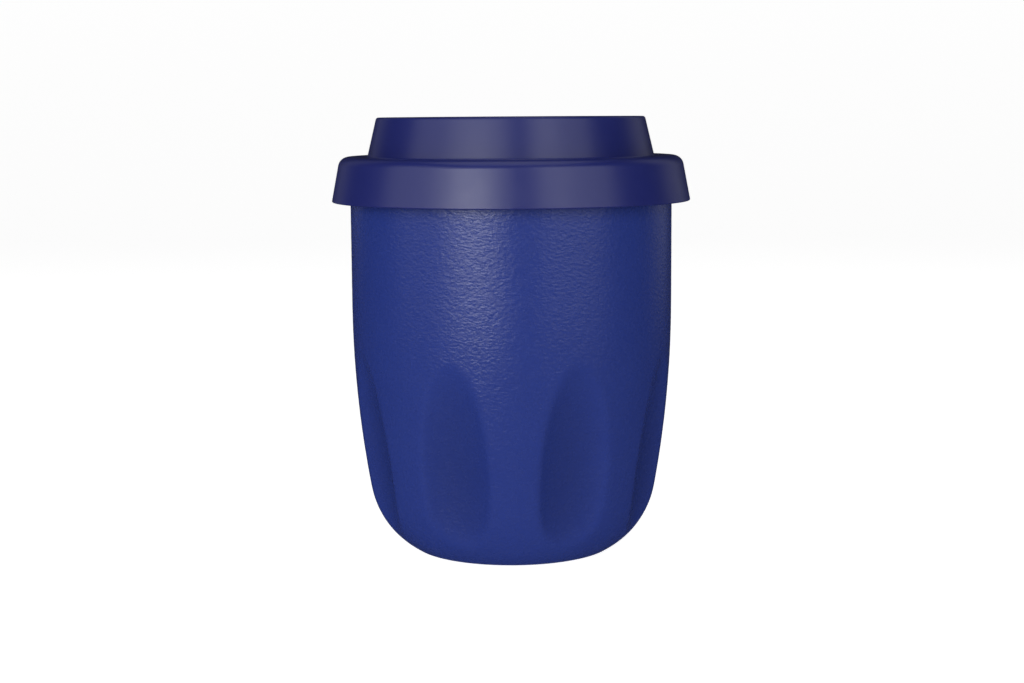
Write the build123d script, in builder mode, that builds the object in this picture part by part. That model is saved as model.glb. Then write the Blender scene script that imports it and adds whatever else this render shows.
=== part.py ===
from build123d import *
from math import asin, cos, degrees, radians, sin, sqrt, tan
import os

os.makedirs("parts", exist_ok=True)

# Insulated drinking tumbler with a press-on lid.
# Frame: +Z up through the middle of the cup, z = 0 where the base pad rests, drinking side towards -Y.
# All sizes in millimetres.

# ---- Cup body: outer form -------------------------------------------------------------------------
body_radius = 44.0          # straight upper wall, outer face
rim_height = 105.7          # top of the drinking lip above the table
straight_from = 68.0        # above this height the wall is a plain cylinder
taper_arc = 291.0           # long arc that draws the wall in below the cylinder
corner_top = 17.0           # height where the long arc gives way to the base corner
base_inset = 16.8           # how far the foot steps in from the upper wall
shell_wall = 0.8            # coated steel outer wall
foot_gap = 0.2              # steel foot stays this far above the table

# ---- Finger hollows round the lower body ----------------------------------------------------------
hollow_count = 8
hollow_first = 22.5         # degrees from +X to the middle of the first hollow
hollow_top = 55.5           # height where a hollow's floor leaves the wall at the top
hollow_bottom = 6.5         # and at the bottom
hollow_dish = 1.7           # floor bows this much further in than a straight line
hollow_round = 17.0         # radius across a hollow
hollow_edge = 2.6           # softening of a hollow's rim
hollow_reach = 9.0          # the forming tool runs on this far past both ends

# ---- Inner liner ----------------------------------------------------------------------------------
lip_width = 3.0             # liner mouth to outer wall
lip_height = 1.4            # solid rolled lip
liner_wall = 0.6
mouth_depth = 11.5          # straight part of the liner that takes the lid's seal
liner_inset = 7.2           # liner's taper from mouth to bottom corner
liner_floor = 12.0          # top of the liner's floor
liner_corner = 13.0         # inside radius at the liner's bottom corner
floor_joint = 1.5           # bottom cup is welded this far up the liner's corner tangent

# ---- Between the walls ----------------------------------------------------------------------------
foil_thickness = 0.15
foil_gap = 0.1
foil_margin = 9.0           # bare liner left above the foil
getter_radius = 4.5
getter_height = 2.0
getter_wall = 0.3
getter_offset = 13.0        # from the cup's axis
port_radius = 0.9           # evacuation hole in the outer bottom
dimple_radius = 5.0
dimple_depth = 0.8

# ---- Base -----------------------------------------------------------------------------------------
bottom_ledge = 1.6          # foot ring's width on the outer shell
recess_depth = 2.2          # height of the outer bottom's face above the foot
cover_thickness = 0.5
cover_gap = 0.25
pad_gap = 0.35
pad_round = 0.5

# ---- Lid cap --------------------------------------------------------------------------------------
seat_clearance = 0.3        # lid flange above the lip
flange_thickness = 2.4
skirt_standoff = 5.15       # skirt's sharp lower corner outside the body wall
skirt_drop = 12.4           # flange top down to the skirt's lower edge
skirt_draft = 10.9          # degrees
skirt_wall = 2.4
shoulder_round = 3.0
gutter = 0.5                # flange falls this much towards the dome
dome_height = 10.4
dome_inset = 1.85           # dome foot inside the mouth radius
dome_draft = 13.5           # degrees
dome_lip = 2.2              # flat top edge of the dome
dome_edge = 0.7
deck_rise = 2.8             # room for the magnets between the flange's underside and the deck
deck_thickness = 2.4
deck_spread = 0.9           # recess is this much wider at the deck than at the top edge

# ---- Lid base: plug, sip way and vent -------------------------------------------------------------
plug_gap = 2.0              # plug wall inside the mouth
plug_wall = 2.6
plug_depth = 12.5           # below the flange's underside
base_disc = 2.0
groove_depth = 1.1
groove_height = 4.0
groove_drop = 5.5           # flange's underside to the groove's upper edge
gasket_clearance = 0.15     # fin tips inside the mouth
fin_thickness = 0.8
sip_length = 14.0
sip_width = 5.6
sip_margin = 10.4           # deck's edge to the middle of the sip opening
chimney_wall = 1.2
vent_radius = 1.0
vent_margin = 6.0           # deck's edge to the vent

# ---- Slider ---------------------------------------------------------------------------------------
slider_width = 19.0
slider_length = 17.0
slider_lead = 7.0           # slider's front edge ahead of the sip opening's middle
slider_corner = 4.0
slider_travel = 13.0
track_depth = 1.2
track_clearance = 0.3       # at the slider's sides and ends
glide_clearance = 0.2       # under the slider
slider_plate = 1.0
slider_body = 2.4
grip_height = 2.2
grip_width = 13.0
grip_depth = 3.4
rib_count = 3
rib_pitch = 2.2
seal_border = 1.4           # silicone reaches this far past the sip opening
seal_thickness = 0.7
seal_clearance = 0.1
magnet_radius = 2.0
magnet_height = 1.3
magnet_spread = 6.0         # each side of the middle line
magnet_setback = 13.8       # behind the slider's front edge

# ---- Places worked out from the sizes above -------------------------------------------------------
taper_turn = asin((straight_from - corner_top) / taper_arc)
taper_centre = body_radius - taper_arc
corner_start = (taper_centre + taper_arc * cos(taper_turn), corner_top)
foot_point = (body_radius - base_inset, 0.0)
corner_chord = (corner_start[0] - foot_point[0], corner_start[1] - foot_point[1])
corner_arc = (corner_chord[0] ** 2 + corner_chord[1] ** 2) / (
    2 * (corner_chord[0] * cos(taper_turn) - corner_chord[1] * sin(taper_turn))
)
corner_centre = (
    corner_start[0] - corner_arc * cos(taper_turn),
    corner_start[1] + corner_arc * sin(taper_turn),
)

mouth_radius = body_radius - lip_width
lip_underside = rim_height - lip_height
mouth_bottom = rim_height - mouth_depth
liner_foot_radius = mouth_radius - liner_inset

flange_underside = rim_height + seat_clearance
flange_top = flange_underside + flange_thickness
lid_top = flange_top + dome_height
skirt_radius = body_radius + skirt_standoff
skirt_bottom = flange_top - skirt_drop
dome_foot_radius = mouth_radius - dome_inset
dome_top_radius = dome_foot_radius - dome_height * tan(radians(dome_draft))
deck_underside = flange_underside + deck_rise
deck_top = deck_underside + deck_thickness
recess_radius = dome_top_radius - dome_lip
deck_radius = recess_radius + deck_spread

plug_radius = mouth_radius - plug_gap
plug_bottom = flange_underside - plug_depth
groove_top = flange_underside - groove_drop
groove_radius = plug_radius - groove_depth
sip_y = -(deck_radius - sip_margin)
vent_y = deck_radius - vent_margin

track_floor = deck_top - track_depth
slider_front = sip_y - slider_lead
slider_y = slider_front + slider_length / 2
track_length = slider_length + slider_travel + 2 * track_clearance
track_y = slider_y + slider_travel / 2
plate_bottom = track_floor + glide_clearance
plate_top = plate_bottom + slider_plate
slider_top_z = plate_top + slider_body
magnet_y = slider_front + magnet_setback


def wall_radius(height, inset=0.0):
    """Radius of the cup's wall at a height, on the face that lies inset inside the outer one."""
    if height >= straight_from:
        return body_radius - inset
    long_arc = taper_arc - inset
    if height >= straight_from - long_arc * sin(taper_turn):
        return taper_centre + sqrt(long_arc**2 - (straight_from - height) ** 2)
    short_arc = corner_arc - inset
    return corner_centre[0] + sqrt(short_arc**2 - (corner_centre[1] - height) ** 2)


def cup_solid(inset, bottom, top):
    """Solid of revolution bounded by the face that lies inset inside the outer wall."""
    long_arc = taper_arc - inset
    short_arc = corner_arc - inset
    last_turn = asin((corner_centre[1] - bottom) / short_arc)
    with BuildPart() as solid:
        with BuildSketch(Plane.XZ):
            with BuildLine():
                Line((0, top), (body_radius - inset, top))
                Line((body_radius - inset, top), (body_radius - inset, straight_from))
                CenterArc((taper_centre, straight_from), long_arc, 0, -degrees(taper_turn))
                CenterArc(corner_centre, short_arc, -degrees(taper_turn), degrees(taper_turn - last_turn))
                Line((wall_radius(bottom, inset), bottom), (0, bottom))
                Line((0, bottom), (0, top))
            make_face()
        revolve(axis=Axis.Z)
    return solid.part


def hollow_tool(grow):
    """Barrel-shaped forming tool over one hollow, in the XZ plane, its surface grown inwards by grow."""
    low = Vector(wall_radius(hollow_bottom), hollow_bottom)
    high = Vector(wall_radius(hollow_top), hollow_top)
    chord = high - low
    along = chord.normalized()
    outward = Vector(along.Y, -along.X)
    middle = (low + high) / 2
    bow = (chord.length / 2) ** 2 / (2 * hollow_dish) + hollow_dish / 2
    deepest = middle - outward * hollow_dish
    arc_centre = deepest + outward * bow
    axis_point = deepest + outward * hollow_round
    half = chord.length / 2 + hollow_reach
    bow += grow
    fall = bow - sqrt(bow**2 - half**2)
    low_end = deepest - outward * (grow - fall) - along * half
    high_end = deepest - outward * (grow - fall) + along * half
    with BuildPart() as tool:
        with BuildSketch(Plane.XZ):
            with BuildLine():
                ThreePointArc(low_end, arc_centre - outward * bow, high_end)
                Line(high_end, axis_point + along * half)
                Line(axis_point + along * half, axis_point - along * half)
                Line(axis_point - along * half, low_end)
            make_face()
        revolve(
            axis=Axis((axis_point.X, 0, axis_point.Y), (along.X, 0, along.Y)),
        )
    return tool.part


def hollow_angles():
    return PolarLocations(0, hollow_count, start_angle=hollow_first)


def write(piece, name):
    """Label a finished piece and write it as its own STEP file."""
    piece.part.label = name
    export_step(piece.part, f"parts/{name}.step")


# ---- Outer shell: drawn steel cup with pressed hollows, open at the foot ---------------------------
foot_radius = wall_radius(foot_gap)
bottom_radius = foot_radius - bottom_ledge

with BuildPart() as shell_core:
    add(cup_solid(shell_wall, foot_gap + shell_wall, lip_underside))
    with hollow_angles():
        add(hollow_tool(shell_wall), mode=Mode.SUBTRACT)

with BuildPart() as outer_shell:
    add(cup_solid(0, foot_gap, lip_underside))
    with hollow_angles():
        add(hollow_tool(0), mode=Mode.SUBTRACT)
    hollow_rims = [edge for edge in outer_shell.edges() if edge.geom_type == GeomType.BSPLINE]
    fillet(hollow_rims, hollow_edge)
    add(shell_core.part, mode=Mode.SUBTRACT)
    with BuildSketch(Plane.XY.offset(foot_gap)):
        Circle(bottom_radius)
    extrude(amount=shell_wall, mode=Mode.SUBTRACT)
write(outer_shell, "outer_shell")


# ---- Outer bottom: pressed dish welded into the foot, with a dimple round the evacuation port ------
dish_face = foot_gap + recess_depth
dish_top = dish_face + shell_wall
dimple_top = dish_top + dimple_depth

with BuildPart() as outer_bottom:
    with BuildSketch(Plane.XY.offset(foot_gap)):
        Circle(bottom_radius)
    extrude(amount=recess_depth + shell_wall)
    with BuildSketch(Plane.XY.offset(foot_gap)):
        Circle(bottom_radius - shell_wall)
    extrude(amount=recess_depth, mode=Mode.SUBTRACT)
    with BuildSketch(Plane.XY.offset(dish_top)):
        Circle(dimple_radius)
    extrude(amount=dimple_depth, taper=35)
    with BuildSketch(Plane.XY.offset(dish_face)):
        Circle(dimple_radius - shell_wall)
    extrude(amount=dimple_depth, taper=35, mode=Mode.SUBTRACT)
    with BuildSketch(Plane.XY.offset(dish_face)):
        Circle(port_radius)
    extrude(amount=shell_wall + dimple_depth, mode=Mode.SUBTRACT)
write(outer_bottom, "outer_bottom")


# ---- Vacuum seal: glass solder bead that closes the evacuation port from below ---------------------
seal_reach = dimple_radius - shell_wall - 2 * dimple_depth

with BuildPart() as vacuum_seal:
    with BuildSketch(Plane.XY.offset(dish_face)):
        Circle(seal_reach)
    extrude(amount=dimple_depth)
    fillet(vacuum_seal.edges().sort_by(Axis.Z)[0], dimple_depth / 2)
    with BuildSketch(Plane.XY.offset(dish_face + dimple_depth)):
        Circle(port_radius)
    extrude(amount=shell_wall)
write(vacuum_seal, "vacuum_seal")


# ---- Base cover: thin steel disc that hides the port ----------------------------------------------
cover_radius = bottom_radius - shell_wall - cover_gap
cover_bottom = dish_face - cover_thickness

with BuildPart() as base_cover:
    with BuildSketch(Plane.XY.offset(cover_bottom)):
        Circle(cover_radius)
    extrude(amount=cover_thickness)
write(base_cover, "base_cover")


# ---- Base pad: silicone disc that the cup stands on ------------------------------------------------
pad_radius = bottom_radius - shell_wall - pad_gap

with BuildPart() as base_pad:
    with BuildSketch(Plane.XY):
        Circle(pad_radius)
    extrude(amount=cover_bottom)
    fillet(base_pad.edges().sort_by(Axis.Z)[0], pad_round)
write(base_pad, "base_pad")


# ---- Inner liner: steel tube with a rolled lip, and the bottom cup welded into it ------------------
liner_joint = liner_floor + liner_corner + floor_joint


def liner_radius(height, outset=0.0):
    """Radius of the liner at a height above its bottom joint, outset from the drinking side's face."""
    if height >= mouth_bottom:
        return mouth_radius + outset
    share = (mouth_bottom - height) / (mouth_bottom - liner_joint)
    return mouth_radius - liner_inset * share + outset


with BuildPart() as inner_liner:
    with BuildSketch(Plane.XZ):
        with BuildLine():
            Polyline(
                (liner_radius(liner_joint), liner_joint),
                (mouth_radius, mouth_bottom),
                (mouth_radius, rim_height),
                (body_radius, rim_height),
                (body_radius, lip_underside),
                (mouth_radius + liner_wall, lip_underside),
                (mouth_radius + liner_wall, mouth_bottom),
                (liner_radius(liner_joint, liner_wall), liner_joint),
                close=True,
            )
        make_face()
    revolve(axis=Axis.Z)
    lip_edges = inner_liner.edges().filter_by(GeomType.CIRCLE).group_by(Axis.Z)[-1]
    fillet(lip_edges, lip_height * 0.45)
write(inner_liner, "inner_liner")

with BuildPart() as liner_bottom:
    with BuildSketch(Plane.XY.offset(liner_floor - liner_wall)):
        Circle(liner_foot_radius + liner_wall)
    extrude(amount=liner_joint - liner_floor + liner_wall)
    fillet(liner_bottom.edges().sort_by(Axis.Z)[0], liner_corner + liner_wall)
    top_face = liner_bottom.faces().sort_by(Axis.Z)[-1]
    offset(amount=-liner_wall, openings=top_face)
write(liner_bottom, "liner_bottom")


# ---- Heat reflector: foil wrapped round the liner in the vacuum space ------------------------------
foil_bottom = liner_joint + foil_gap
foil_top = mouth_bottom - foil_margin

with BuildPart() as heat_reflector:
    foil_inner = liner_wall + foil_gap
    foil_outer = foil_inner + foil_thickness
    with BuildSketch(Plane.XZ):
        with BuildLine():
            Polyline(
                (liner_radius(foil_bottom, foil_inner), foil_bottom),
                (liner_radius(foil_top, foil_inner), foil_top),
                (liner_radius(foil_top, foil_outer), foil_top),
                (liner_radius(foil_bottom, foil_outer), foil_bottom),
                close=True,
            )
        make_face()
    revolve(axis=Axis.Z)
write(heat_reflector, "heat_reflector")


# ---- Getter: gas-absorbing tablet in a small holder on the outer bottom ----------------------------
with BuildPart() as getter_holder:
    with BuildSketch(Plane.XY.offset(dish_top)):
        with Locations((0, getter_offset)):
            Circle(getter_radius + getter_wall)
    extrude(amount=getter_height)
    with BuildSketch(Plane.XY.offset(dish_top + getter_wall)):
        with Locations((0, getter_offset)):
            Circle(getter_radius)
    extrude(amount=getter_height - getter_wall, mode=Mode.SUBTRACT)
write(getter_holder, "getter_holder")

with BuildPart() as getter_tablet:
    with BuildSketch(Plane.XY.offset(dish_top + getter_wall)):
        with Locations((0, getter_offset)):
            Circle(getter_radius)
    extrude(amount=getter_height - getter_wall)
    fillet(getter_tablet.edges().sort_by(Axis.Z)[-1], getter_wall)
write(getter_tablet, "getter_tablet")


# ---- Lid cap: skirt, shoulder, dome and recessed deck ----------------------------------------------
skirt_slope = tan(radians(skirt_draft))
dome_slope = tan(radians(dome_draft))


def skirt_radius_at(height):
    """Outer radius of the drafted skirt at a height."""
    return skirt_radius - (height - skirt_bottom) * skirt_slope


gutter_height = flange_top - gutter
gutter_radius = dome_foot_radius + gutter * dome_slope
pocket_radius = plug_radius - plug_wall

with BuildPart() as lid_cap:
    with BuildSketch(Plane.XZ):
        with BuildLine():
            Polyline(
                (0, deck_top),
                (deck_radius, deck_top),
                (recess_radius, lid_top),
                (dome_top_radius, lid_top),
                (gutter_radius, gutter_height),
                (skirt_radius_at(flange_top), flange_top),
                (skirt_radius, skirt_bottom),
                (skirt_radius - skirt_wall, skirt_bottom),
                (skirt_radius_at(flange_underside) - skirt_wall, flange_underside),
                (pocket_radius, flange_underside),
                (pocket_radius, deck_underside),
                (0, deck_underside),
                close=True,
            )
        make_face()
    revolve(axis=Axis.Z)
    circles = lid_cap.edges().filter_by(GeomType.CIRCLE)
    shoulder = circles.filter_by(lambda edge: abs(edge.radius - skirt_radius_at(flange_top)) < 0.01)
    fillet(shoulder, shoulder_round)
    dome_edges = lid_cap.edges().filter_by(GeomType.CIRCLE).group_by(Axis.Z)[-1]
    fillet(dome_edges, dome_edge)
    skirt_edges = lid_cap.edges().filter_by(GeomType.CIRCLE).group_by(Axis.Z)[0]
    fillet(skirt_edges, dome_edge)
    dome_foot = lid_cap.edges().filter_by(
        lambda edge: edge.geom_type == GeomType.CIRCLE and abs(edge.radius - gutter_radius) < 0.01
    )
    fillet(dome_foot, dome_edge)
    deck_corner = lid_cap.edges().filter_by(
        lambda edge: edge.geom_type == GeomType.CIRCLE and abs(edge.radius - deck_radius) < 0.01
    )
    fillet(deck_corner, dome_edge)
    with BuildSketch(Plane.XY.offset(track_floor)):
        with Locations((0, track_y)):
            RectangleRounded(
                slider_width + 2 * track_clearance,
                track_length,
                slider_corner + track_clearance,
            )
    extrude(amount=track_depth, mode=Mode.SUBTRACT)
    with BuildSketch(Plane.XY.offset(deck_underside)):
        with Locations((0, sip_y)):
            SlotOverall(sip_length, sip_width)
        with Locations((0, vent_y)):
            Circle(vent_radius)
    extrude(amount=deck_thickness, mode=Mode.SUBTRACT)
write(lid_cap, "lid_cap")


# ---- Lid base: plug wall with the gasket's groove, sip chimney, vent tube and magnet seats ---------
magnet_bottom = deck_underside - magnet_height
disc_bottom = flange_underside - base_disc


def magnet_places(first_y, rows):
    """Middles of the magnets, a pair for each row of the slider's stroke."""
    return [(side * magnet_spread, first_y + row * slider_travel) for row in range(rows) for side in (-1, 1)]


with BuildPart() as lid_base:
    with BuildSketch(Plane.XY.offset(plug_bottom)):
        Circle(plug_radius)
    extrude(amount=plug_depth)
    with BuildSketch(Plane.XY.offset(plug_bottom)):
        Circle(pocket_radius)
    extrude(amount=plug_depth - base_disc, mode=Mode.SUBTRACT)
    with BuildSketch(Plane.XY.offset(groove_top - groove_height)):
        Circle(plug_radius)
        Circle(groove_radius, mode=Mode.SUBTRACT)
    extrude(amount=groove_height, mode=Mode.SUBTRACT)
    with BuildSketch(Plane.XY.offset(flange_underside)):
        with Locations((0, sip_y)):
            SlotOverall(sip_length + 2 * chimney_wall, sip_width + 2 * chimney_wall)
        with Locations((0, vent_y)):
            Circle(vent_radius + chimney_wall)
    extrude(amount=deck_underside - flange_underside)
    with BuildSketch(Plane.XY.offset(disc_bottom)):
        with Locations((0, sip_y)):
            SlotOverall(sip_length, sip_width)
        with Locations((0, vent_y)):
            Circle(vent_radius)
    extrude(amount=deck_underside - disc_bottom, mode=Mode.SUBTRACT)
    with BuildSketch(Plane.XY.offset(flange_underside)):
        with Locations(*magnet_places(magnet_y, 2)):
            Circle(magnet_radius + chimney_wall / 2)
    extrude(amount=magnet_bottom - flange_underside)
    plug_edges = lid_base.edges().filter_by(GeomType.CIRCLE).group_by(Axis.Z)[0]
    fillet(plug_edges, plug_wall / 4)
write(lid_base, "lid_base")


# ---- Deck magnets: hold the slider shut and open through the deck ----------------------------------
with BuildPart() as deck_magnets:
    with BuildSketch(Plane.XY.offset(magnet_bottom)):
        with Locations(*magnet_places(magnet_y, 2)):
            Circle(magnet_radius)
    extrude(amount=magnet_height)
write(deck_magnets, "deck_magnets")


# ---- Lid gasket: silicone ring with two fins that rub on the mouth ---------------------------------
gasket_bottom = groove_top - groove_height
fin_tip = mouth_radius - gasket_clearance
fin_pitch = groove_height - 2 * fin_thickness
band_radius = plug_radius + fin_thickness / 2

with BuildPart() as lid_gasket:
    with BuildSketch(Plane.XZ):
        with BuildLine():
            Polyline(
                (groove_radius, gasket_bottom),
                (band_radius, gasket_bottom),
                (fin_tip, gasket_bottom + fin_thickness),
                (fin_tip, gasket_bottom + 1.5 * fin_thickness),
                (band_radius, gasket_bottom + 1.5 * fin_thickness),
                (band_radius, gasket_bottom + fin_pitch),
                (fin_tip, gasket_bottom + fin_pitch + fin_thickness),
                (fin_tip, gasket_bottom + fin_pitch + 1.5 * fin_thickness),
                (band_radius, gasket_bottom + fin_pitch + 1.5 * fin_thickness),
                (band_radius, groove_top),
                (groove_radius, groove_top),
                close=True,
            )
        make_face()
    revolve(axis=Axis.Z)
write(lid_gasket, "lid_gasket")


# ---- Slider: moulded top with a thumb grip, sealing base, silicone pad and two magnets -------------
def slider_outline(border=0.0):
    """Rounded plan of the slider in the open sketch, drawn in by border."""
    with Locations((0, slider_y)):
        RectangleRounded(slider_width - 2 * border, slider_length - 2 * border, slider_corner - border)


with BuildPart() as slider_top:
    with BuildSketch(Plane.XY.offset(plate_top)):
        slider_outline()
    extrude(amount=slider_body)
    rim = slider_top.edges().group_by(Axis.Z)[-1]
    fillet(rim, slider_body / 4)
    with BuildSketch(Plane.XY.offset(slider_top_z)):
        with Locations((0, sip_y)):
            SlotOverall(grip_width, grip_depth)
    extrude(amount=grip_height, taper=8)
    grip_rim = slider_top.edges().group_by(Axis.Z)[-1]
    fillet(grip_rim, grip_depth / 6)
    with BuildSketch(Plane.XY.offset(slider_top_z)):
        with Locations((0, slider_front + slider_length - slider_corner)):
            with GridLocations(0, rib_pitch, 1, rib_count):
                SlotOverall(grip_width * 0.7, 0.8)
    extrude(amount=0.5)
    with BuildSketch(Plane.XY.offset(plate_top)):
        with Locations(*magnet_places(magnet_y, 1)):
            Circle(magnet_radius)
    extrude(amount=magnet_height, mode=Mode.SUBTRACT)
write(slider_top, "slider_top")

with BuildPart() as slider_magnets:
    with BuildSketch(Plane.XY.offset(plate_top)):
        with Locations(*magnet_places(magnet_y, 1)):
            Circle(magnet_radius)
    extrude(amount=magnet_height)
write(slider_magnets, "slider_magnets")


def seal_outline():
    """Plan of the silicone pad under the slider in the open sketch."""
    with Locations((0, sip_y)):
        SlotOverall(sip_length + 2 * seal_border, sip_width + 2 * seal_border)


seal_bottom = track_floor + seal_clearance

with BuildPart() as slider_base:
    with BuildSketch(Plane.XY.offset(plate_bottom)):
        slider_outline()
    extrude(amount=slider_plate)
    with BuildSketch(Plane.XY.offset(plate_bottom)):
        seal_outline()
    extrude(amount=seal_bottom + seal_thickness - plate_bottom, mode=Mode.SUBTRACT)
write(slider_base, "slider_base")

with BuildPart() as slider_seal:
    with BuildSketch(Plane.XY.offset(seal_bottom)):
        seal_outline()
    extrude(amount=seal_thickness)
write(slider_seal, "slider_seal")
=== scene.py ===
from math import asin, cos, hypot, pi, radians, sin, sqrt, tan

import bpy
from mathutils import Matrix, Vector


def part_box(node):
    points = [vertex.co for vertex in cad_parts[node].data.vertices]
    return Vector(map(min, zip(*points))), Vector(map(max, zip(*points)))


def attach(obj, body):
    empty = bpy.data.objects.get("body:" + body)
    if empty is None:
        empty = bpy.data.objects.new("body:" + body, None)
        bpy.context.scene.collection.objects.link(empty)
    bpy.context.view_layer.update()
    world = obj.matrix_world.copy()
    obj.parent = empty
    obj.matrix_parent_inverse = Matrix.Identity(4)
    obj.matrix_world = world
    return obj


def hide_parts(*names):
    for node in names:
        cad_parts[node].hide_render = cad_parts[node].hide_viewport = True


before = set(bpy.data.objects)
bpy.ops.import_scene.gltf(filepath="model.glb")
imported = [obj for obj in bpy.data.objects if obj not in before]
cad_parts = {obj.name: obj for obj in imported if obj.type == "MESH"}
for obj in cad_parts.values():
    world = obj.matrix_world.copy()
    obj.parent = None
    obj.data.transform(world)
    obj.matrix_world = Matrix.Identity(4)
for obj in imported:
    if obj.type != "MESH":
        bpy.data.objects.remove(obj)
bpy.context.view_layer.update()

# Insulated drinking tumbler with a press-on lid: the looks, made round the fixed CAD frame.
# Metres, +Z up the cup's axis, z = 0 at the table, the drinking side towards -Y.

# ---- Places read from the frame -------------------------------------------------------------------
shell_low, shell_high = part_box("outer_shell")
lid_low, lid_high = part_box("lid_cap")
bottom_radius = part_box("outer_bottom")[1].x
plug_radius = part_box("lid_base")[1].x

body_radius = shell_high.x
foot_height = shell_low.z
shell_top = shell_high.z
lid_top = lid_high.z
skirt_bottom = lid_low.z

# ---- Form of the outer wall -----------------------------------------------------------------------
straight_from = 0.068
taper_arc = 0.291
corner_top = 0.017
base_inset = 0.0168
shell_wall = 0.0008
hollow_depth = 0.0045       # deeper than the hollows and the wall together
wall_turns = 480            # faces round the outer wall
ring_step = 0.00064         # height of a face on the outer wall
inner_coarseness = 5        # an inner face's height, in outer faces
rim_softening = 14          # smoothing passes over the hollows' rims
peel_height = 0.00006       # orange-peel texture, lowest to highest
peel_size = 0.0011
hollow_painted_shade = 0.80         # painted shade: brightness of the coat at the bottom of a hollow

# ---- Form of the lid ------------------------------------------------------------------------------
dome_height = 0.0104
flange_thickness = 0.0024
gutter = 0.0005
skirt_overhang = 0.00506    # skirt's lower edge, out past the body
skirt_draft = radians(10.9)
skirt_wall = 0.0024
skirt_round = 0.00036
shoulder_round = 0.0025
small_round = 0.0006
fine_round = 0.0003
dome_inset = 0.00185
lip_width = 0.003
dome_draft = radians(13.5)
dome_lip = 0.0022
deck_rise = 0.0028
deck_thickness = 0.0024
deck_spread = 0.0009
pocket_step = 0.0026        # the pocket under the deck, in from the plug's outside
track_depth = 0.0012
track_clearance = 0.0003
slider_travel = 0.013
sip_width = 0.014
sip_length = 0.0056
sip_corner = 0.0027
vent_radius = 0.001
vent_inset = 0.006          # vent's middle, in from the deck's edge
through_deck = 0.012        # depth of the cutters that go right through
lid_turns = 288             # faces round the lid

# ---- Form of the slider's top and of the base pad -------------------------------------------------
slider_corner = 0.004
magnet_spread = 0.006       # each side of the middle line
ridge_height = 0.0022
ridge_width = 0.013
ridge_depth = 0.0034
ridge_corner = 0.0016
dish_reach = 0.0024
dish_depth = 0.0004
dish_half_width = 0.0062
rib_count = 3
rib_pitch = 0.0022
rib_size = (0.0091, 0.0008, 0.001)
rib_corner = 0.00038
rib_round = 0.00025
pad_middle = 0.0085         # radius of the pad's hollowed middle
pad_hollow = 0.0004
pad_grooves = 4
groove_width = 0.0009
groove_depth = 0.0004
pad_edge = 0.0005           # chamfer round the pad's lower edge
pad_edge_break = 0.00015
pad_turns = 144             # faces round the pad

# ---- Light ----------------------------------------------------------------------------------------
board_brightness = 0.82
paper_brightness = 0.93
room_brightness = 0.02
lamp_distance = 0.9


# ==== Modelling helpers ============================================================================
near = 2e-5                 # two places closer than this are the same place
weld = 1e-6


def nothing_selected():
    """Leave edit mode and deselect every object."""
    if bpy.context.object and bpy.context.object.mode != "OBJECT":
        bpy.ops.object.mode_set(mode="OBJECT")
    bpy.ops.object.select_all(action="DESELECT")


def take(piece):
    """Make one object the only selected and active one."""
    nothing_selected()
    piece.select_set(True)
    bpy.context.view_layer.objects.active = piece


def edit(piece, mode="VERT"):
    """Open a piece in edit mode with nothing selected."""
    take(piece)
    bpy.ops.object.mode_set(mode="EDIT")
    bpy.ops.mesh.select_mode(type=mode)
    bpy.ops.mesh.select_all(action="DESELECT")


def done():
    """Leave edit mode."""
    bpy.ops.object.mode_set(mode="OBJECT")


def pick(piece, kind, wanted):
    """Select the vertices, edges or faces of the open piece that wanted says yes to."""
    done()
    items = getattr(piece.data, kind)
    for item in items:
        item.select = bool(wanted(item))
    bpy.ops.object.mode_set(mode="EDIT")


def start_point(name, place):
    """A new piece of one vertex, open in edit mode."""
    nothing_selected()
    bpy.ops.mesh.primitive_plane_add(size=0.001)
    piece = bpy.context.object
    piece.name = name
    piece.data.name = name
    bpy.ops.object.mode_set(mode="EDIT")
    bpy.ops.mesh.select_mode(type="VERT")
    bpy.ops.mesh.select_all(action="SELECT")
    bpy.ops.mesh.merge(type="CENTER")
    bpy.ops.transform.translate(value=place)
    return piece


def draw_outline(name, outline):
    """Draw a half section, given as (radius, height) points, by pulling one vertex along it."""
    places = [Vector((radius, 0, height)) for radius, height in outline]
    piece = start_point(name, places[0])
    for here, there in zip(places, places[1:]):
        bpy.ops.mesh.extrude_region_move(TRANSFORM_OT_translate={"value": there - here})
    return piece


def turn_round(steps):
    """Spin the open outline once round the cup's axis and close the seam."""
    bpy.ops.mesh.select_all(action="SELECT")
    bpy.ops.mesh.spin(steps=steps, angle=2 * pi, center=(0, 0, 0), axis=(0, 0, 1))
    bpy.ops.mesh.select_all(action="SELECT")
    bpy.ops.mesh.remove_doubles(threshold=weld)
    bpy.ops.mesh.normals_make_consistent(inside=False)


def apply_modifier(piece, kind, name, **settings):
    """Add a modifier with these settings and apply it."""
    take(piece)
    modifier = piece.modifiers.new(name, kind)
    for key, value in settings.items():
        setattr(modifier, key, value)
    bpy.ops.object.modifier_apply(modifier=modifier.name)


def vertex_group(piece, name, wanted):
    """Name a group of vertices, chosen by place, so that a modifier acts on them alone."""
    take(piece)
    group = piece.vertex_groups.new(name=name)
    chosen = [vertex.index for vertex in piece.data.vertices if wanted(vertex.co)]
    group.add(chosen, 1.0, "REPLACE")


def smooth_below(piece, angle):
    """Shade a piece smooth, but for edges sharper than an angle in degrees."""
    take(piece)
    bpy.ops.object.shade_smooth_by_angle(angle=radians(angle))


def bevel_ring(piece, radius, height, width, segments):
    """Round the ring of edges at a radius and height."""
    points = piece.data.vertices

    def on_ring(edge):
        ends = [points[index].co for index in edge.vertices]
        return all(abs(hypot(end.x, end.y) - radius) < near and abs(end.z - height) < near for end in ends)

    edit(piece, "EDGE")
    pick(piece, "edges", on_ring)
    bpy.ops.mesh.bevel(offset=width, segments=segments, profile=0.5, affect="EDGES", clamp_overlap=False)
    done()


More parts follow.
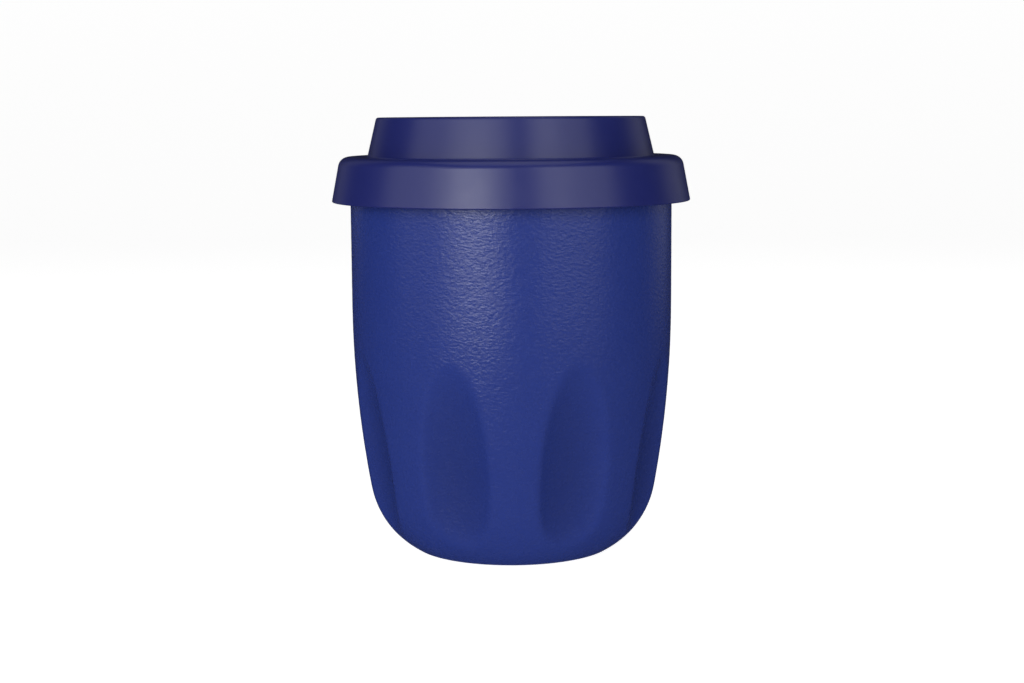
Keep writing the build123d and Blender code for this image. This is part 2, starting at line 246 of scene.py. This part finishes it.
# ==== Materials ====================================================================================
def new_material(name, colour, roughness, metallic=0.0):
    """A Principled material and its shader, ready for its pattern."""
    material = bpy.data.materials.new(name)
    material.use_nodes = True
    shader = material.node_tree.nodes["Principled BSDF"]
    shader.inputs["Base Color"].default_value = (*colour, 1)
    shader.inputs["Roughness"].default_value = roughness
    shader.inputs["Metallic"].default_value = metallic
    return material, shader


def add_node(material, kind, **inputs):
    """A new node with these values on its inputs."""
    node = material.node_tree.nodes.new(kind)
    for key, value in inputs.items():
        node.inputs[key].default_value = value
    return node


def join(material, out, into):
    """Link an output to an input."""
    material.node_tree.links.new(out, into)


def object_pattern(material, kind, stretch=(1, 1, 1), **inputs):
    """A pattern node on Object coordinates, drawn out by stretch."""
    place = add_node(material, "ShaderNodeTexCoord")
    mapping = add_node(material, "ShaderNodeMapping", Scale=stretch)
    pattern = add_node(material, kind, **inputs)
    join(material, place.outputs["Object"], mapping.inputs["Vector"])
    join(material, mapping.outputs["Vector"], pattern.inputs["Vector"])
    return pattern


def between(material, value, into, low, high):
    """Feed a pattern's 0 to 1 value to a socket as low to high."""
    spread = add_node(material, "ShaderNodeMapRange")
    spread.inputs["To Min"].default_value = low
    spread.inputs["To Max"].default_value = high
    join(material, value, spread.inputs["Value"])
    join(material, spread.outputs["Result"], into)


def bump(material, shader, heights, distance, strength=1.0, below=None):
    """Raise the surface by a pattern, over an earlier bump if there is one."""
    node = add_node(material, "ShaderNodeBump", Strength=strength, Distance=distance)
    join(material, heights, node.inputs["Height"])
    if below:
        join(material, below.outputs["Normal"], node.inputs["Normal"])
    join(material, node.outputs["Normal"], shader.inputs["Normal"])
    return node


def tint(material, shader, value, dark, light):
    """Shade the base colour between two colours by a pattern."""
    ramp = material.node_tree.nodes.new("ShaderNodeValToRGB")
    ramp.color_ramp.elements[0].color = (*dark, 1)
    ramp.color_ramp.elements[1].color = (*light, 1)
    join(material, value, ramp.inputs["Fac"])
    join(material, ramp.outputs["Color"], shader.inputs["Base Color"])
    return ramp


def coat_material():
    """Sprayed satin coat with an orange-peel surface: deep blue, darkened in the hollows by painted shade."""
    material, shader = new_material("blue_coat", (0.0164, 0.0344, 0.206), 0.27)
    mottle = object_pattern(material, "ShaderNodeTexNoise", Scale=90.0, Detail=3.0, Roughness=0.6)
    ramp = tint(
        material, shader, mottle.outputs["Fac"], dark=(0.0156, 0.0328, 0.198), light=(0.0172, 0.0360, 0.214)
    )
    # painted shade: the coat's colour darkens with the depth of each hollow
    painted_shade = add_node(material, "ShaderNodeHueSaturation")
    depth = add_node(material, "ShaderNodeAttribute")
    depth.attribute_name = "hollow_depth"
    between(material, depth.outputs["Fac"], painted_shade.inputs["Value"], low=1.0, high=hollow_painted_shade)
    join(material, ramp.outputs["Color"], painted_shade.inputs["Color"])
    join(material, painted_shade.outputs["Color"], shader.inputs["Base Color"])
    rubbed = object_pattern(material, "ShaderNodeTexNoise", Scale=400.0, Detail=2.0)
    between(material, rubbed.outputs["Fac"], shader.inputs["Roughness"], low=0.22, high=0.32)
    peel = object_pattern(
        material, "ShaderNodeTexNoise", (1, 1, 1.7), Scale=900.0, Detail=2.0, Roughness=0.5, Distortion=0.3
    )
    grain = object_pattern(material, "ShaderNodeTexNoise", Scale=3000.0, Detail=2.0)
    first = bump(material, shader, peel.outputs["Fac"], distance=0.00012)
    bump(material, shader, grain.outputs["Fac"], distance=0.00001, strength=0.5, below=first)
    return material


def moulded_material(name, dark, light, roughness):
    """Smooth satin moulding: a faint cloudiness in the colour and a very fine mould grain."""
    material, shader = new_material(name, light, roughness)
    cloud = object_pattern(material, "ShaderNodeTexNoise", Scale=60.0, Detail=2.0)
    tint(material, shader, cloud.outputs["Fac"], dark, light)
    wear = object_pattern(material, "ShaderNodeTexNoise", Scale=240.0, Detail=3.0)
    dull, shiny = roughness + 0.05, roughness - 0.04
    between(material, wear.outputs["Fac"], shader.inputs["Roughness"], low=shiny, high=dull)
    grain = object_pattern(material, "ShaderNodeTexNoise", Scale=3200.0, Detail=2.0)
    bump(material, shader, grain.outputs["Fac"], distance=0.00002, strength=0.5)
    return material


def steel_material():
    """Stainless steel, turned: fine rings round the cup's axis."""
    material, shader = new_material("turned_steel", (0.62, 0.62, 0.63), 0.3, metallic=1.0)
    rings = object_pattern(material, "ShaderNodeTexNoise", (20, 20, 2600), Scale=1.0, Detail=3.0)
    between(material, rings.outputs["Fac"], shader.inputs["Roughness"], low=0.22, high=0.42)
    bump(material, shader, rings.outputs["Fac"], distance=0.00001, strength=0.5)
    return material


def silicone_material(name, dark, light, roughness):
    """Moulded silicone with a faint bloom."""
    material, shader = new_material(name, light, roughness)
    bloom = object_pattern(material, "ShaderNodeTexNoise", Scale=150.0, Detail=3.0)
    tint(material, shader, bloom.outputs["Fac"], dark, light)
    grain = object_pattern(material, "ShaderNodeTexNoise", Scale=2200.0, Detail=2.0)
    dull, shiny = roughness + 0.08, roughness - 0.05
    between(material, grain.outputs["Fac"], shader.inputs["Roughness"], low=shiny, high=dull)
    bump(material, shader, grain.outputs["Fac"], distance=0.00002, strength=0.5)
    return material


def foil_material():
    """Thin bright foil, creased by hand wrapping."""
    material, shader = new_material("wrinkled_foil", (0.8, 0.8, 0.81), 0.25, metallic=1.0)
    creases = object_pattern(material, "ShaderNodeTexNoise", Scale=300.0, Detail=4.0, Distortion=1.0)
    between(material, creases.outputs["Fac"], shader.inputs["Roughness"], low=0.16, high=0.36)
    bump(material, shader, creases.outputs["Fac"], distance=0.0002, strength=0.6)
    return material


def plated_material():
    """Nickel plate on the magnets."""
    material, shader = new_material("nickel_plate", (0.66, 0.64, 0.6), 0.22, metallic=1.0)
    haze = object_pattern(material, "ShaderNodeTexNoise", Scale=900.0, Detail=2.0)
    between(material, haze.outputs["Fac"], shader.inputs["Roughness"], low=0.16, high=0.3)
    return material


def powder_material():
    """Dark pressed metal powder of the getter tablet."""
    material, shader = new_material("pressed_powder", (0.06, 0.06, 0.065), 0.8, metallic=0.6)
    grains = object_pattern(material, "ShaderNodeTexVoronoi", Scale=2500.0)
    between(material, grains.outputs["Distance"], shader.inputs["Roughness"], low=0.65, high=0.95)
    bump(material, shader, grains.outputs["Distance"], distance=0.0001, strength=0.8)
    return material


def solder_glass_material():
    """Dark glassy bead that seals the evacuation port."""
    material, shader = new_material("solder_glass", (0.05, 0.055, 0.05), 0.15)
    swirl = object_pattern(material, "ShaderNodeTexNoise", Scale=500.0, Detail=2.0)
    tint(material, shader, swirl.outputs["Fac"], (0.03, 0.035, 0.03), (0.09, 0.095, 0.085))
    bump(material, shader, swirl.outputs["Fac"], distance=0.00005, strength=0.4)
    return material


def finish_with(piece, material):
    """Give a piece this one material."""
    piece.data.materials.clear()
    piece.data.materials.append(material)


# ==== Outer shell ==================================================================================
taper_turn = asin((straight_from - corner_top) / taper_arc)
taper_centre = body_radius - taper_arc
corner_start = Vector((taper_centre + taper_arc * cos(taper_turn), corner_top))
corner_chord = corner_start - Vector((body_radius - base_inset, 0))
corner_arc = corner_chord.length_squared / (
    2 * (corner_chord.x * cos(taper_turn) - corner_chord.y * sin(taper_turn))
)
corner_centre = corner_start - Vector((cos(taper_turn), -sin(taper_turn))) * corner_arc


def wall_radius(height):
    """Radius of the cup's outer face at a height, away from the hollows."""
    if height >= straight_from:
        return body_radius
    if height >= corner_top:
        return taper_centre + sqrt(taper_arc**2 - (straight_from - height) ** 2)
    return corner_centre.x + sqrt(corner_arc**2 - (corner_centre.y - height) ** 2)


def wall_outline(step):
    """Outline of the outer face from foot to top, as (radius, height) points about a step apart."""
    outline = [(wall_radius(foot_height), foot_height)]
    while outline[-1][1] < shell_top - step:
        radius, height = outline[-1]
        slope = (wall_radius(height + step / 10) - radius) / (step / 10)
        height += step / sqrt(1 + slope**2)
        outline.append((wall_radius(height), height))
    outline[-1] = (body_radius, shell_top)
    return outline


def make_outer_shell():
    """The coated wall: lathe-turned, pressed into the hollows, its rims softened, then textured."""
    outside = wall_outline(ring_step)
    inner_rings = wall_outline(inner_coarseness * ring_step)[1:-1]
    inside = [(radius - hollow_depth, height) for radius, height in inner_rings]
    inside = [point for point in inside if point[0] > bottom_radius]
    outline = [(bottom_radius, foot_height)] + outside
    outline += [(body_radius - shell_wall, shell_top)] + inside[::-1]
    outline += [(bottom_radius, foot_height + shell_wall), (bottom_radius, foot_height)]
    shell = draw_outline("outer_shell_wall", outline)
    turn_round(wall_turns)
    done()

    def coated(place):
        on_wall = hypot(place.x, place.y) > wall_radius(place.z) - 0.5 * shell_wall
        return on_wall and foot_height + ring_step / 2 < place.z < shell_top - ring_step / 2

    vertex_group(shell, "coat", coated)

    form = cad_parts["outer_shell"].copy()
    form.data = form.data.copy()
    form.parent = None
    bpy.context.collection.objects.link(form)
    edit(form)
    bpy.ops.mesh.select_all(action="SELECT")
    bpy.ops.mesh.remove_doubles(threshold=weld)
    done()
    apply_modifier(shell, "SHRINKWRAP", "press", target=form, wrap_method="NEAREST_SURFACEPOINT")
    bpy.data.objects.remove(form)
    apply_modifier(shell, "SMOOTH", "soften", factor=0.5, iterations=rim_softening, vertex_group="coat")

    # depth below the plain wall, 0 to 1, which the coat reads to paint shade into the hollows
    bpy.ops.geometry.attribute_add(name="hollow_depth", domain="POINT", data_type="FLOAT")
    depths = shell.data.attributes["hollow_depth"].data
    for vertex, depth in zip(shell.data.vertices, depths):
        place = vertex.co
        below = wall_radius(place.z) - hypot(place.x, place.y)
        depth.value = max(0.0, min(1.0, below / hollow_depth))

    peel = bpy.data.textures.new("orange_peel", "CLOUDS")
    peel.noise_scale = peel_size
    peel.noise_depth = 1
    apply_modifier(
        shell,
        "DISPLACE",
        "texture",
        texture=peel,
        texture_coords="LOCAL",
        strength=peel_height,
        mid_level=0.5,
        vertex_group="coat",
    )
    smooth_below(shell, 50)
    finish_with(shell, coat)
    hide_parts("outer_shell")
    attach(shell, "cup")


# ==== Lid cap ======================================================================================
mouth_radius = body_radius - lip_width
flange_top = lid_top - dome_height
flange_underside = flange_top - flange_thickness
deck_underside = flange_underside + deck_rise
deck_top = deck_underside + deck_thickness
dome_foot_radius = mouth_radius - dome_inset
dome_top_radius = dome_foot_radius - dome_height * tan(dome_draft)
recess_radius = dome_top_radius - dome_lip
deck_radius = recess_radius + deck_spread
pocket_radius = plug_radius - pocket_step
skirt_corner = body_radius + skirt_overhang


def skirt_at(height):
    """Outer radius of the skirt at a height."""
    return skirt_corner - (height - skirt_bottom) * tan(skirt_draft)


def rounded_block(name, centre, size, corner, segments=10):
    """A block with rounded upright edges, for cutting or for a start."""
    nothing_selected()
    bpy.ops.mesh.primitive_cube_add(size=1, location=centre, scale=size)
    bpy.ops.object.transform_apply(location=True, rotation=True, scale=True)
    block = bpy.context.object
    block.name = name
    block.data.name = name
    points = block.data.vertices

    def upright(edge):
        low, high = (points[index].co for index in edge.vertices)
        return hypot(low.x - high.x, low.y - high.y) < weld

    edit(block, "EDGE")
    pick(block, "edges", upright)
    bpy.ops.mesh.bevel(offset=corner, segments=segments, profile=0.5, affect="EDGES", clamp_overlap=False)
    done()
    return block


def cut(piece, cutter):
    """Take a cutter out of a piece and throw the cutter away."""
    apply_modifier(piece, "BOOLEAN", "cut", operation="DIFFERENCE", solver="EXACT", object=cutter)
    bpy.data.objects.remove(cutter)


def bevel_where(piece, wanted, width, segments):
    """Round the edges whose two ends wanted says yes to."""
    points = piece.data.vertices
    edit(piece, "EDGE")
    pick(piece, "edges", lambda edge: all(wanted(points[index].co) for index in edge.vertices))
    bpy.ops.mesh.bevel(offset=width, segments=segments, profile=0.5, affect="EDGES")
    done()


def make_lid_cap():
    """Stepped lid: turned section, rounded rings, then the slider's track, the sip opening and the vent."""
    gutter_height = flange_top - gutter
    gutter_radius = dome_foot_radius + gutter * tan(dome_draft)
    outline = [
        (deck_radius, deck_top),
        (recess_radius, lid_top),
        (dome_top_radius, lid_top),
        (gutter_radius, gutter_height),
        (skirt_at(flange_top), flange_top),
        (skirt_corner, skirt_bottom),
        (skirt_corner - skirt_wall, skirt_bottom),
        (skirt_at(flange_underside) - skirt_wall, flange_underside),
        (pocket_radius, flange_underside),
        (pocket_radius, deck_underside),
    ]
    lid = draw_outline("lid_cap_moulding", outline)
    turn_round(lid_turns)
    bpy.ops.mesh.fill_holes(sides=0)
    bpy.ops.mesh.select_all(action="SELECT")
    bpy.ops.mesh.normals_make_consistent(inside=False)
    done()
    bevel_ring(lid, skirt_at(flange_top), flange_top, shoulder_round, 8)
    bevel_ring(lid, skirt_corner, skirt_bottom, skirt_round, 4)
    bevel_ring(lid, skirt_corner - skirt_wall, skirt_bottom, skirt_round, 4)
    bevel_ring(lid, dome_top_radius, lid_top, small_round, 5)
    bevel_ring(lid, recess_radius, lid_top, small_round, 5)
    bevel_ring(lid, gutter_radius, gutter_height, small_round, 4)
    bevel_ring(lid, deck_radius, deck_top, 2 * small_round, 5)

    slider_low, slider_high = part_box("slider_base")
    track_length = slider_high.y - slider_low.y + slider_travel + 2 * track_clearance
    track_width = slider_high.x - slider_low.x + 2 * track_clearance
    track_y = slider_low.y - track_clearance + track_length / 2
    track_size = (track_width, track_length, 2 * track_depth)
    track_corner = slider_corner + track_clearance
    cut(lid, rounded_block("track", (0, track_y, deck_top), track_size, track_corner))
    seal_low, seal_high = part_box("slider_seal")
    sip_y = (seal_low.y + seal_high.y) / 2
    cut(lid, rounded_block("sip", (0, sip_y, deck_top), (sip_width, sip_length, through_deck), sip_corner))
    nothing_selected()
    bpy.ops.mesh.primitive_cylinder_add(
        vertices=40, radius=vent_radius, depth=through_deck, location=(0, deck_radius - vent_inset, deck_top)
    )
    bpy.ops.object.transform_apply(location=True)
    cut(lid, bpy.context.object)

    def track_rim(place):
        across = abs(place.x) < track_width / 2 + near
        along = abs(place.y - track_y) < track_length / 2 + near
        return across and along and abs(place.z - deck_top) < near

    def sip_rim(place):
        across = abs(place.x) < sip_width / 2 + near
        along = abs(place.y - sip_y) < sip_length / 2 + near
        return across and along and abs(place.z - deck_top + track_depth) < near

    bevel_where(lid, track_rim, fine_round, 3)
    bevel_where(lid, sip_rim, fine_round, 3)
    smooth_below(lid, 32)
    apply_modifier(lid, "WEIGHTED_NORMAL", "even", keep_sharp=True)
    finish_with(lid, lid_plastic)
    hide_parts("lid_cap")
    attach(lid, "lid")


# ==== Slider top ===================================================================================
def add_to(piece, addition):
    """Join a second form onto a piece and throw the form away."""
    apply_modifier(piece, "BOOLEAN", "join", operation="UNION", solver="EXACT", object=addition)
    bpy.data.objects.remove(addition)


def make_slider_top():
    """Rounded plate with a thumb ridge, a dished push face before it, ribs, and magnet seats below."""
    low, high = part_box("slider_top")
    seal_low, seal_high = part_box("slider_seal")
    magnet_low, magnet_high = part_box("slider_magnets")
    ridge_y = (seal_low.y + seal_high.y) / 2
    plate_top = high.z - ridge_height
    middle = (low + high) / 2

    plate_middle = (middle.x, middle.y, (low.z + plate_top) / 2)
    plate_size = (high.x - low.x, high.y - low.y, plate_top - low.z)
    slider = rounded_block("slider_thumb_plate", plate_middle, plate_size, slider_corner)
    bevel_where(slider, lambda place: place.z > plate_top - near, small_round, 4)

    ridge_size = (ridge_width, ridge_depth, 2 * ridge_height)
    ridge = rounded_block("ridge", (0, ridge_y, high.z - ridge_height), ridge_size, ridge_corner)
    bevel_where(ridge, lambda place: place.z > high.z - near, small_round, 5)
    add_to(slider, ridge)
    for step in range(rib_count):
        rib_y = high.y - slider_corner + (step - (rib_count - 1) / 2) * rib_pitch
        rib = rounded_block("rib", (0, rib_y, plate_top), rib_size, rib_corner, 6)
        bevel_where(rib, lambda place: place.z > plate_top + near, rib_round, 3)
        add_to(slider, rib)

    nothing_selected()
    dish_place = (0, ridge_y - ridge_depth / 2 - dish_reach, plate_top + dish_reach)
    bpy.ops.mesh.primitive_uv_sphere_add(segments=64, ring_count=32, radius=1, location=dish_place)
    dish = bpy.context.object
    dish.scale = (dish_half_width, dish_reach + dish_depth, dish_reach + dish_depth)
    bpy.ops.object.transform_apply(location=True, scale=True)
    cut(slider, dish)
    for side in (-1, 1):
        nothing_selected()
        bpy.ops.mesh.primitive_cylinder_add(
            vertices=48,
            radius=(magnet_high.y - magnet_low.y) / 2,
            depth=2 * (magnet_high.z - magnet_low.z),
            location=(side * magnet_spread, (magnet_low.y + magnet_high.y) / 2, magnet_low.z),
        )
        bpy.ops.object.transform_apply(location=True)
        cut(slider, bpy.context.object)
    smooth_below(slider, 35)
    finish_with(slider, lid_plastic)
    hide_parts("slider_top")
    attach(slider, "slider")


# ==== Base pad =====================================================================================
def make_base_pad():
    """Silicone foot disc: hollowed middle and ring grooves on the face that meets the table."""
    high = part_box("base_pad")[1]
    radius = high.x
    outline = [(0, pad_hollow), (pad_middle, pad_hollow), (pad_middle + pad_hollow, 0)]
    pitch = (radius - pad_middle - 3 * groove_width) / pad_grooves
    for ring in range(pad_grooves):
        start = pad_middle + 2 * groove_width + ring * pitch
        outline += [
            (start, 0),
            (start + groove_width / 4, groove_depth),
            (start + groove_width * 3 / 4, groove_depth),
            (start + groove_width, 0),
        ]
    outline += [
        (radius - pad_edge, 0),
        (radius - pad_edge_break, pad_edge_break),
        (radius, pad_edge),
        (radius, high.z),
        (0, high.z),
    ]
    pad = draw_outline("silicone_foot", outline)
    turn_round(pad_turns)
    done()
    smooth_below(pad, 30)
    finish_with(pad, base_silicone)
    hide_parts("base_pad")
    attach(pad, "cup")


# ==== Stage, light and camera ======================================================================
def make_stage():
    """A pale floor that turns up into a backdrop a long way off on all four sides."""
    nothing_selected()
    bpy.ops.mesh.primitive_plane_add(size=4, location=(0, 0, 0))
    floor = bpy.context.object
    floor.name = "backdrop"
    points = floor.data.vertices
    edit(floor, "EDGE")
    bpy.ops.mesh.select_all(action="SELECT")
    bpy.ops.mesh.extrude_edges_move(TRANSFORM_OT_translate={"value": (0, 0, 3)})
    pick(floor, "edges", lambda edge: all(points[index].co.z < 0.1 for index in edge.vertices))
    bpy.ops.mesh.bevel(offset=0.8, segments=24, affect="EDGES")
    done()
    bpy.ops.object.shade_smooth()
    paper, shader = new_material("backdrop_paper", (0.5, 0.5, 0.5), 0.9)
    shader.inputs["Emission Color"].default_value = (1, 1, 1, 1)
    shader.inputs["Emission Strength"].default_value = paper_brightness
    finish_with(floor, paper)
    floor.visible_diffuse = False
    floor.visible_glossy = False
    floor.visible_shadow = False


def make_bounce_board():
    """A glowing board just under the floor, unseen itself, for the soft light that a pale table throws up."""
    nothing_selected()
    bpy.ops.mesh.primitive_plane_add(size=3, location=(0, 0, -0.001))
    board = bpy.context.object
    board.name = "bounce_board"
    glow, shader = new_material("board_glow", (0, 0, 0), 1.0)
    shader.inputs["Emission Color"].default_value = (1, 1, 1, 1)
    shader.inputs["Emission Strength"].default_value = board_brightness
    finish_with(board, glow)
    board.visible_camera = False
    board.visible_glossy = False


def softbox(name, azimuth, elevation, size, brightness):
    """A rectangular soft light facing the cup's middle; brightness 1 looks white."""
    aim = Vector((0, 0, lid_top / 2))
    turn, lift = radians(azimuth), radians(elevation)
    away = Vector((sin(turn) * cos(lift), -cos(turn) * cos(lift), sin(lift)))
    bpy.ops.object.light_add(type="AREA", location=aim + away * lamp_distance)
    lamp = bpy.context.object
    lamp.name = name
    lamp.data.shape = "RECTANGLE"
    lamp.data.size, lamp.data.size_y = size
    lamp.data.energy = brightness * pi * size[0] * size[1]
    lamp.rotation_mode = "QUATERNION"
    lamp.rotation_quaternion = away.to_track_quat("Z", "Y")


def make_lights():
    """A key on the left, soft fill on both sides, two strips behind and a little light from above."""
    softbox("key_box", azimuth=-26, elevation=12, size=(0.36, 0.28), brightness=5.3)
    softbox("key_halo", azimuth=-26, elevation=16, size=(0.76, 0.66), brightness=1.7)
    softbox("left_fill", azimuth=-68, elevation=22, size=(0.6, 0.7), brightness=0.95)
    softbox("right_key", azimuth=26, elevation=26, size=(0.34, 0.5), brightness=0.95)
    softbox("right_fill", azimuth=42, elevation=20, size=(0.8, 0.7), brightness=1.15)
    softbox("right_back_strip", azimuth=128, elevation=20, size=(0.45, 0.8), brightness=0.25)
    softbox("left_back_strip", azimuth=-140, elevation=22, size=(0.3, 0.8), brightness=0.13)
    softbox("overhead", azimuth=0, elevation=86, size=(0.8, 0.8), brightness=0.8)
    world = bpy.data.worlds.new("studio")
    bpy.context.scene.world = world
    world.use_nodes = True
    world.node_tree.nodes["Background"].inputs["Color"].default_value = (1, 1, 1, 1)
    world.node_tree.nodes["Background"].inputs["Strength"].default_value = room_brightness


def make_camera():
    """Level with the lid's top, tipped down, and turned a touch so that the hollows sit right."""
    distance = 0.496
    height = 0.1202
    turn_angle = -0.8
    down_angle = 7.28
    lean_angle = -0.38
    round_turn = Matrix.Rotation(radians(turn_angle), 4, "Z")
    tip = Matrix.Rotation(radians(90 - down_angle), 4, "X")
    lean = Matrix.Rotation(radians(lean_angle), 4, "Z")
    bpy.ops.object.camera_add()
    camera = bpy.context.object
    camera.name = "camera"
    camera.matrix_world = round_turn @ Matrix.Translation((0, -distance, height)) @ tip @ lean
    camera.data.lens = 63.3
    camera.data.sensor_width = 36
    camera.data.clip_start = 0.01
    bpy.context.scene.camera = camera
    bpy.context.scene.view_settings.view_transform = "Standard"


# ==== Everything ===================================================================================
make_camera()

coat = coat_material()
lid_plastic = moulded_material("lid_moulding", (0.0115, 0.0165, 0.122), (0.0130, 0.0185, 0.136), 0.31)
inner_plastic = moulded_material("plug_moulding", (0.0110, 0.0160, 0.116), (0.0125, 0.0180, 0.130), 0.45)
steel = steel_material()
base_silicone = silicone_material("navy_silicone", (0.010, 0.013, 0.040), (0.014, 0.018, 0.052), 0.6)
lid_silicone = silicone_material("clear_silicone", (0.55, 0.55, 0.54), (0.64, 0.64, 0.63), 0.45)
foil = foil_material()
plate = plated_material()

make_outer_shell()
make_lid_cap()
make_slider_top()
make_base_pad()

node_finishes = {
    "outer_bottom": steel,
    "vacuum_seal": solder_glass_material(),
    "base_cover": steel,
    "inner_liner": steel,
    "liner_bottom": steel,
    "heat_reflector": foil,
    "getter_holder": steel,
    "getter_tablet": powder_material(),
    "lid_base": inner_plastic,
    "lid_gasket": lid_silicone,
    "deck_magnets": plate,
    "slider_base": inner_plastic,
    "slider_seal": lid_silicone,
    "slider_magnets": plate,
}
for node, finish in node_finishes.items():
    finish_with(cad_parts[node], finish)

make_stage()
make_bounce_board()
make_lights()
